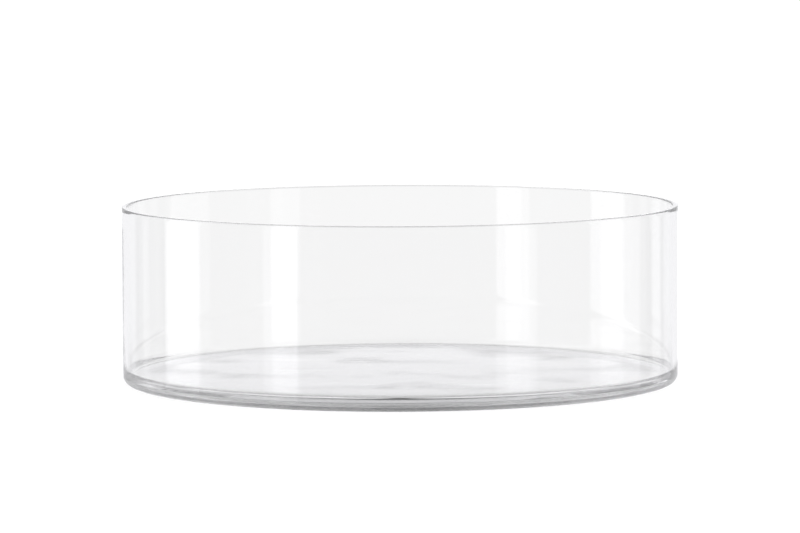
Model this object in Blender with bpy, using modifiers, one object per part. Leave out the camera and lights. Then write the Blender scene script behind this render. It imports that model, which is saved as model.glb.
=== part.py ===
"""Crystallizing dish: a wide, low dish of clear laboratory glass.

The dish is one blown and flame-worked piece of glass with no moving or removable parts.
It has a straight cylindrical wall, a flat rim with softened edges and no spout, and a
thick flat floor that meets the wall in a rounded heel. It is turned about Z and stands on
Z = 0, with the origin at the centre of its underside. Sizes are in metres.
"""

import math

import bpy

# Driving dimensions.
OUTER_DIAMETER = 0.250
HEIGHT = 0.080
WALL_THICKNESS = 0.0023
FLOOR_THICKNESS = 0.0050
HEEL_RADIUS = 0.0042
INNER_CORNER_RADIUS = 0.0030
RIM_EDGE_RADIUS = 0.0006

# Fineness of the turned surface.
STEPS_ROUND_THE_AXIS = 96
CORNER_STEPS = 5
RIM_EDGE_STEPS = 3
MERGE_DISTANCE = 0.00001

# Finish.
GLASS_COLOUR = (0.93, 0.955, 0.96, 1.0)
GLASS_ROUGHNESS = 0.02
GLASS_IOR = 1.473


def clear_scene():
    """Removes every object that is already in the scene."""
    for obj in list(bpy.data.objects):
        bpy.data.objects.remove(obj, do_unlink=True)


def make_collection(name):
    """A new collection, linked to the scene."""
    collection = bpy.data.collections.new(name)
    bpy.context.scene.collection.children.link(collection)
    return collection


def clear_glass():
    """Colourless laboratory glass with a polished surface."""
    material = bpy.data.materials.new("clear_glass")
    material.use_nodes = True
    shader = material.node_tree.nodes["Principled BSDF"]
    shader.inputs["Base Color"].default_value = GLASS_COLOUR
    shader.inputs["Metallic"].default_value = 0.0
    shader.inputs["Roughness"].default_value = GLASS_ROUGHNESS
    shader.inputs["IOR"].default_value = GLASS_IOR
    shader.inputs["Transmission Weight"].default_value = 1.0
    return material


def arc(centre, radius, start_degrees, end_degrees, steps):
    """Points (r, z) along an arc of the profile, both ends included."""
    points = []
    for step in range(steps + 1):
        angle = math.radians(start_degrees + (end_degrees - start_degrees) * step / steps)
        points.append((centre[0] + radius * math.cos(angle), centre[1] + radius * math.sin(angle)))
    return points


def dish_profile():
    """The section through the glass, from the floor's centre over the rim to the underside's centre."""
    outer_radius = OUTER_DIAMETER / 2
    inner_radius = outer_radius - WALL_THICKNESS
    rim_edge_height = HEIGHT - RIM_EDGE_RADIUS

    corner_centre = (inner_radius - INNER_CORNER_RADIUS, FLOOR_THICKNESS + INNER_CORNER_RADIUS)
    inner_rim_centre = (inner_radius + RIM_EDGE_RADIUS, rim_edge_height)
    outer_rim_centre = (outer_radius - RIM_EDGE_RADIUS, rim_edge_height)
    heel_centre = (outer_radius - HEEL_RADIUS, HEEL_RADIUS)

    profile = [(0.0, FLOOR_THICKNESS)]
    profile += arc(corner_centre, INNER_CORNER_RADIUS, -90, 0, CORNER_STEPS)
    profile += arc(inner_rim_centre, RIM_EDGE_RADIUS, 180, 90, RIM_EDGE_STEPS)
    profile += arc(outer_rim_centre, RIM_EDGE_RADIUS, 90, 0, RIM_EDGE_STEPS)
    profile += arc(heel_centre, HEEL_RADIUS, 0, -90, CORNER_STEPS)
    profile += [(0.0, 0.0)]
    return profile


def turned(name, profile, material, collection):
    """One solid of revolution about Z, made by a Screw modifier on its profile."""
    points = [(radius, 0.0, height) for radius, height in profile]
    edges = [(index, index + 1) for index in range(len(points) - 1)]
    mesh = bpy.data.meshes.new(name)
    mesh.from_pydata(points, edges, [])
    mesh.materials.append(material)
    obj = bpy.data.objects.new(name, mesh)
    collection.objects.link(obj)

    screw = obj.modifiers.new("turn about the axis", "SCREW")
    screw.axis = "Z"
    screw.angle = math.tau
    screw.steps = STEPS_ROUND_THE_AXIS
    screw.render_steps = STEPS_ROUND_THE_AXIS
    screw.use_merge_vertices = True
    screw.merge_threshold = MERGE_DISTANCE
    screw.use_smooth_shade = True
    return obj


clear_scene()
crystallizing_dish = make_collection("crystallizing_dish")
turned("dish", dish_profile(), clear_glass(), crystallizing_dish)
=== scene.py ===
import math

import bmesh
import bpy
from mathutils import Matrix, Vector, noise


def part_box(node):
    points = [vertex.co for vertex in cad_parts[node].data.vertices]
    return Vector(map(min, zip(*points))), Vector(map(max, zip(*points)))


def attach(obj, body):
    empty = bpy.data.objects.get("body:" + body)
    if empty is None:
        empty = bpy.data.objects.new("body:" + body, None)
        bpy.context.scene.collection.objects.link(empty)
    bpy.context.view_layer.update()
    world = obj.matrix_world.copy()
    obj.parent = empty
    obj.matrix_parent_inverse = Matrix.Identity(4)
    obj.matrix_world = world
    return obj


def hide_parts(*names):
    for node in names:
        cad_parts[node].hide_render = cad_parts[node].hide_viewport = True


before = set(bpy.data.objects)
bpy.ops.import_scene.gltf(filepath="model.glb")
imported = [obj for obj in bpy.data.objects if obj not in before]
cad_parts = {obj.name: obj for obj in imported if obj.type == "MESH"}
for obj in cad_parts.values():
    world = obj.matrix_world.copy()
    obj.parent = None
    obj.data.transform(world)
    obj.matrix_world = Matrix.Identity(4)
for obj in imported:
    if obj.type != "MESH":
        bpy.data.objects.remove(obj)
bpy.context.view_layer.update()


# The dish. One piece of clear laboratory glass, blown and cut: a straight wall, a flat rim
# with softened edges and no spout, and a thick flat floor with a rounded heel.
# It is turned here as one section, then given the faint unevenness of blown glass.

dish_top_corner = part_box("dish")[1]
outer_radius = dish_top_corner[0]
rim_height = dish_top_corner[2]
wall_thickness = 0.0023
floor_thickness = 0.0050
heel_radius = 0.0042
inner_corner_radius = 0.0030
rim_edge_radius = 0.0006
inner_radius = outer_radius - wall_thickness

ring_pitch = 0.0022        # between rings of the mesh, up the wall and out along the floor
steps_round_the_axis = 288
inner_corner_steps = 14
heel_steps = 18
rim_edge_steps = 6
merge_distance = 0.000001

glass = bmesh.new()
section = [
    (0.0, floor_thickness),
    (inner_radius, floor_thickness),
    (inner_radius, rim_height),
    (outer_radius, rim_height),
    (outer_radius, 0.0),
    (0.0, 0.0),
]
corners = [glass.verts.new((radius, 0.0, height)) for radius, height in section]
for start, end in zip(corners, corners[1:]):
    glass.edges.new((start, end))
inner_corner, inner_rim_edge, outer_rim_edge, heel = corners[1:5]


def round_corner(corner, radius, segments):
    """Turns one corner of the section into an arc."""
    bmesh.ops.bevel(
        glass, geom=[corner], offset=radius, offset_type="OFFSET", segments=segments,
        profile=0.5, affect="VERTICES", material=-1, clamp_overlap=False,
    )


round_corner(inner_corner, inner_corner_radius, inner_corner_steps)
round_corner(heel, heel_radius, heel_steps)
round_corner(inner_rim_edge, rim_edge_radius, rim_edge_steps)
round_corner(outer_rim_edge, rim_edge_radius, rim_edge_steps)
bmesh.ops.remove_doubles(glass, verts=glass.verts[:], dist=merge_distance)

for edge in [edge for edge in glass.edges if edge.calc_length() > 2 * ring_pitch]:
    cuts = int(edge.calc_length() / ring_pitch)
    bmesh.ops.subdivide_edges(glass, edges=[edge], cuts=cuts)

bmesh.ops.spin(
    glass, geom=glass.verts[:] + glass.edges[:], cent=(0, 0, 0), axis=(0, 0, 1),
    dvec=(0, 0, 0), angle=math.tau, steps=steps_round_the_axis, use_merge=True,
)
bmesh.ops.remove_doubles(glass, verts=glass.verts[:], dist=merge_distance)
bmesh.ops.recalc_face_normals(glass, faces=glass.faces[:])

# Height, length and seed of each set of waves.
floor_waves = (0.00010, 0.034, 3.1)
fine_floor_waves = (0.00004, 0.015, 7.7)
underside_waves = (0.00012, 0.045, 11.9)
wall_waves = (0.00005, 0.040, 17.3)

floor_flat_margin = 0.012       # the floor's waves die out over this width beside the wall
underside_flat_margin = 0.020
underside_hollow = 0.00025      # so that the dish stands on its outer ring
wall_wave_squeeze = 0.35        # of the height, so that the wall's waves are long upwards
wall_foot = floor_thickness + inner_corner_radius
wall_waves_start = (wall_foot, wall_foot + 0.006)
wall_waves_end = (rim_height - 0.010, rim_height - 0.003)
on_a_flat = 0.00001             # a point this near a flat's height lies on it


def ripple(point, waves):
    """A smooth random height, up to about the waves' own height above or below zero."""
    height, length, seed = waves
    return height * noise.noise(Vector((point.x / length, point.y / length, point.z / length + seed)))


def fade(value, start, end):
    """0 before start, 1 after end, and smooth between them."""
    share = min(1.0, max(0.0, (value - start) / (end - start)))
    return share * share * (3 - 2 * share)


for vert in glass.verts:
    place = vert.co.copy()
    radius = math.hypot(place.x, place.y)
    if abs(place.z - floor_thickness) < on_a_flat and radius < inner_radius:
        calm = 1 - fade(radius, inner_radius - floor_flat_margin, inner_radius - inner_corner_radius)
        level_place = Vector((place.x, place.y, 0))
        vert.co.z += calm * (ripple(level_place, floor_waves) + ripple(level_place, fine_floor_waves))
    elif place.z < on_a_flat:
        calm = 1 - fade(radius, outer_radius - underside_flat_margin, outer_radius - heel_radius)
        vert.co.z += calm * (underside_hollow + ripple(place, underside_waves))
    elif wall_foot < place.z < rim_height - wall_thickness and radius < outer_radius - wall_thickness / 2:
        calm = fade(place.z, *wall_waves_start) * (1 - fade(place.z, *wall_waves_end))
        squeezed = Vector((place.x, place.y, place.z * wall_wave_squeeze))
        grow = calm * ripple(squeezed, wall_waves)
        vert.co.x += place.x / radius * grow
        vert.co.y += place.y / radius * grow

dish_mesh = bpy.data.meshes.new("blown_dish")
glass.to_mesh(dish_mesh)
glass.free()
dish_mesh.shade_smooth()
blown_dish = bpy.data.objects.new("blown_dish", dish_mesh)
bpy.context.scene.collection.objects.link(blown_dish)


class Link:
    """One socket of a node tree. Arithmetic on it adds Math nodes to that tree."""

    def __init__(self, tree, socket=None):
        self.tree = tree
        self.socket = socket

    def node(self, kind, settings=None, values=None, output=0):
        """Adds a node, sets it up, fills or links its sockets, and gives one of its outputs."""
        made = self.tree.nodes.new(kind)
        for name, setting in (settings or {}).items():
            setattr(made, name, setting)
        for name, value in (values or {}).items():
            if isinstance(value, Link):
                self.tree.links.new(value.socket, made.inputs[name])
            else:
                made.inputs[name].default_value = value
        return Link(self.tree, made.outputs[output])

    def maths(self, operation, *others):
        """One Math node on this socket and the others, in that order."""
        return self.node("ShaderNodeMath", {"operation": operation}, dict(enumerate((self, *others))))

    def __add__(self, other):
        return self.maths("ADD", other)

    def __mul__(self, other):
        return self.maths("MULTIPLY", other)

    def __sub__(self, other):
        return self.maths("SUBTRACT", other)

    def __rsub__(self, other):
        return self * -1.0 + other

    def __gt__(self, other):
        return self.maths("GREATER_THAN", other)

    __radd__ = __add__
    __rmul__ = __mul__

    def rise(self, start, end):
        """0 before start, 1 after end, and smooth between them."""
        return self.node(
            "ShaderNodeMapRange", {"interpolation_type": "SMOOTHSTEP"},
            {"Value": self, "From Min": start, "From Max": end, "To Min": 0.0, "To Max": 1.0},
        )


glass_ior = 1.473
glass_grey = (0.765, 0.765, 0.765, 1.0)
glass_density = 10.0
heel_ring_start = (0.0010, 0.0014)      # heights over which the heel ring of wear and painted shade fades in and out
heel_ring_end = (0.0020, 0.0026)
rim_edge_start = (rim_height - 0.0009, rim_height - 0.0002)
patch_scale = 60.0
least_wear_and_shade = 0.6
patch_gain = 0.6
# how much the heel ring's glass colour is darkened, as painted shade
heel_painted_shade = 0.56
worn_roughness = 0.12
# how much the rim's top edge is darkened, as painted shade
rim_painted_shade = 0.34
streak_scale = 45.0
streak_depth = 0.000012

clear_glass = bpy.data.materials.new("clear_glass")
clear_glass.use_nodes = True
tree = clear_glass.node_tree
shader = tree.nodes["Principled BSDF"]
shader.inputs["Metallic"].default_value = 0.0
shader.inputs["IOR"].default_value = glass_ior
shader.inputs["Transmission Weight"].default_value = 1.0
graph = Link(tree)
place = graph.node("ShaderNodeTexCoord", output="Object")
height = graph.node("ShaderNodeSeparateXYZ", values={0: place}, output="Z")
# The ring round the heel: rougher from real wear, and darker in colour as a painted shade along the foot
# of the dish.
heel_ring = height.rise(*heel_ring_start) * (1 - height.rise(*heel_ring_end))
patchy = graph.node("ShaderNodeTexNoise", values={"Vector": place, "Scale": patch_scale, "Detail": 3.0})
worn_and_shaded = heel_ring * (least_wear_and_shade + patchy * patch_gain)
# The top edge of the rim is darker in colour: a painted shade that draws a grey line along the rim.
rim_edge = height.rise(*rim_edge_start)
# The glass colour carries both painted shades: the heel ring's and the rim's.
bright = (1 - worn_and_shaded * heel_painted_shade) * (1 - rim_edge * rim_painted_shade)
tint = graph.node("ShaderNodeCombineColor", values={0: bright, 1: bright, 2: bright})
tree.links.new(tint.socket, shader.inputs["Base Color"])
tree.links.new((worn_and_shaded * worn_roughness).socket, shader.inputs["Roughness"])
streaks = graph.node("ShaderNodeTexNoise", values={"Vector": place, "Scale": streak_scale, "Detail": 2.0})
bump = graph.node("ShaderNodeBump", values={"Height": streaks, "Strength": 1.0, "Distance": streak_depth})
tree.links.new(bump.socket, shader.inputs["Normal"])
absorb = graph.node("ShaderNodeVolumeAbsorption", values={"Color": glass_grey, "Density": glass_density})
tree.links.new(absorb.socket, tree.nodes["Material Output"].inputs["Volume"])
dish_mesh.materials.append(clear_glass)

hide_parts("dish")
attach(blown_dish, "root")


# The bench top: a white sheet that gives its own light, so it is as white as the surround.
# The glass doesn't mirror it. Through the glass it is seen dimmer, and dimmer still under
# the front of the dish, in a shade that is part of the sheet.

sheet_size = 40.0
gap_under_dish = 0.0002
sheet_grey = (0.15, 0.15, 0.15, 1.0)
sheet_glow = 0.90
seen_through_dimming = 0.113
shade_depth = 0.30
whole_shade = (0.16, -outer_radius)     # deepens from behind the dish to its front
whole_shade_share = 1.2
front_shade = (-0.05, -0.11)            # and deepens again near the front
front_shade_share = 0.6
shade_offset = 0.16                     # lightens the far side
shade_edge = (outer_radius - 0.003, outer_radius + 0.010)

bpy.ops.mesh.primitive_plane_add(size=sheet_size, location=(0, 0, -gap_under_dish))
bench_sheet = bpy.context.object
bench_sheet.name = "studio_floor"
white_sheet = bpy.data.materials.new("white_floor")
white_sheet.use_nodes = True
tree = white_sheet.node_tree
shader = tree.nodes["Principled BSDF"]
shader.inputs["Base Color"].default_value = sheet_grey
shader.inputs["Roughness"].default_value = 1.0
shader.inputs["Specular IOR Level"].default_value = 0.0
shader.inputs["Emission Strength"].default_value = sheet_glow
graph = Link(tree)
seen_through = graph.node("ShaderNodeLightPath", output="Transmission Depth") > 0.5
mirrored = graph.node("ShaderNodeLightPath", output="Glossy Depth") > 0.5
place = graph.node("ShaderNodeTexCoord", output="Object")
backwards = graph.node("ShaderNodeSeparateXYZ", values={0: place}, output="Y")
from_axis = graph.node("ShaderNodeVectorMath", {"operation": "LENGTH"}, {0: place}, output="Value")
shade = backwards.rise(*whole_shade) * whole_shade_share
shade = shade + backwards.rise(*front_shade) * front_shade_share - shade_offset
shade = shade * (1 - from_axis.rise(*shade_edge))
glow = 1 - seen_through * (seen_through_dimming + shade * shade_depth)
tree.links.new(glow.socket, shader.inputs["Emission Color"])
gone = graph.node("ShaderNodeBsdfTransparent")
sheet = Link(tree, shader.outputs["BSDF"])
shown = graph.node("ShaderNodeMixShader", values={"Fac": mirrored, 1: sheet, 2: gone})
tree.links.new(shown.socket, tree.nodes["Material Output"].inputs["Surface"])
bench_sheet.data.materials.append(white_sheet)


# The studio: an even white surround, and tall soft boxes that only reflections show.
# Light is told apart by its path, so what is seen straight through the glass, what it
# mirrors, and what it has mirrored many times over each have a brightness of their own.

surround = 1.06
seen_through_loss = 0.103
mirrored_room = 0.67
mirrored_blue = 0.02
# Each soft box's left and right edge, in degrees to the right of the front, and brightness.
soft_boxes = (
    (-58, -54, 0.60),
    (-54, -42.5, 1.10),
    (44, 58, 0.50),
    (52, 56, 0.15),
    (-113, -91, 0.95),
    (91, 117, 0.42),
    (128, 137, 0.22),
    (-133, -126, 0.18),
)
soft_box_blur = 0.6

# The mirrored room's other changes. Each pair says where a change begins and is complete:
# in degrees off the front, in height of a direction one long, or in reflections so far.
sides = (30, 75)
sides_gain = 0.05
rear = (138, 145)
rear_gain = 0.22
far_rear = (145, 165)
steep = (0.35, 0.60)
steep_rear_loss = 0.92
glow_sides = (40, 80)
glow_height = (0.10, 0.22)
glow_gain = 0.62
glow_rear = (135, 160)
glow_rear_loss = 0.5
fifth_reflection = (4.5, 6)
fifteenth_reflection = (14, 17)
middle_reflections_loss = 0.26
last_reflections = (26, 40)
last_reflections_gain = 0.3
straight_behind = (166, 176)
straight_behind_gain = 0.42

world = bpy.data.worlds.new("studio")
bpy.context.scene.world = world
world.use_nodes = True
tree = world.node_tree
tree.nodes.clear()
graph = Link(tree)
outwards = graph.node("ShaderNodeTexCoord", output="Generated")
rightwards, backwards, upwards = [
    graph.node("ShaderNodeSeparateXYZ", values={0: outwards}, output=axis) for axis in "XYZ"
]
bearing = rightwards.maths("ARCTAN2", backwards * -1.0) * (180 / math.pi)
off_front = bearing.maths("ABSOLUTE")
steepness = upwards.maths("ABSOLUTE")
glossy_depth = graph.node("ShaderNodeLightPath", output="Glossy Depth")
mirrored = glossy_depth > 0.5
scattered = graph.node("ShaderNodeLightPath", output="Diffuse Depth") > 0.5
seen_through = graph.node("ShaderNodeLightPath", output="Transmission Depth") > 0.5


def soft_box(left, right, brightness):
    """A soft box from floor to ceiling between two bearings, with slightly blurred edges."""
    past_left = bearing.rise(left - soft_box_blur, left + soft_box_blur)
    past_right = bearing.rise(right - soft_box_blur, right + soft_box_blur)
    return past_left * (1 - past_right) * brightness


# The room as the glass mirrors it: a little lighter at the sides, and lighter behind.
room = mirrored_room + off_front.rise(*sides) * sides_gain + off_front.rise(*rear) * rear_gain
for box in soft_boxes:
    room = room + soft_box(*box)
# Behind, it is dark high up and low down. At the sides, it glows above the rim.
room = room * (1 - steepness.rise(*steep) * off_front.rise(*far_rear) * steep_rear_loss)
side_glow = off_front.rise(*glow_sides) * (glow_gain - off_front.rise(*glow_rear) * glow_rear_loss)
room = room + upwards.rise(*glow_height) * side_glow
# It is dimmer from about the 5th reflection to the 15th, and brighter after the 26th.
middle = glossy_depth.rise(*fifth_reflection) * (1 - glossy_depth.rise(*fifteenth_reflection))
room = room * (1 - middle * middle_reflections_loss)
room = room + glossy_depth.rise(*last_reflections) * last_reflections_gain
# Straight behind is brighter in reflections that haven't passed through any glass.
room = room + (1 - seen_through) * off_front.rise(*straight_behind) * straight_behind_gain

plain = surround - seen_through * (1 - scattered) * seen_through_loss
show_room = mirrored * (1 - scattered)
strength = show_room * room + (1 - show_room) * plain
cool = graph.node("ShaderNodeCombineColor", values={0: 1.0, 1: 1.0, 2: 1 + show_room * mirrored_blue})
light = graph.node("ShaderNodeBackground", values={"Color": cool, "Strength": strength})
studio_output = tree.nodes.new("ShaderNodeOutputWorld")
tree.links.new(light.socket, studio_output.inputs["Surface"])


# The camera: a long lens, well back and a little above the bench, which looks slightly down
# into the dish. Light may bounce many times before it is given up, because the thick floor
# mirrors it from face to face.

camera_distance = 19.0 * outer_radius
camera_height = 2.0687 * outer_radius
camera_lens = 238.35
camera_dip = 4.972         # degrees below level
camera_roll = 0.22
camera_turn = -0.0185
most_bounces = 128
most_scattered_bounces = 4

camera_data = bpy.data.cameras.new("camera")
camera = bpy.data.objects.new("camera", camera_data)
bpy.context.scene.collection.objects.link(camera)
bpy.context.scene.camera = camera
camera_data.lens = camera_lens
camera.location = (0, -camera_distance, camera_height)
camera.rotation_euler = [math.radians(angle) for angle in (90 - camera_dip, camera_roll, camera_turn)]
bpy.context.scene.view_settings.view_transform = "Standard"

cycles = bpy.context.scene.cycles
cycles.max_bounces = most_bounces
cycles.glossy_bounces = most_bounces
cycles.transmission_bounces = most_bounces
cycles.diffuse_bounces = most_scattered_bounces
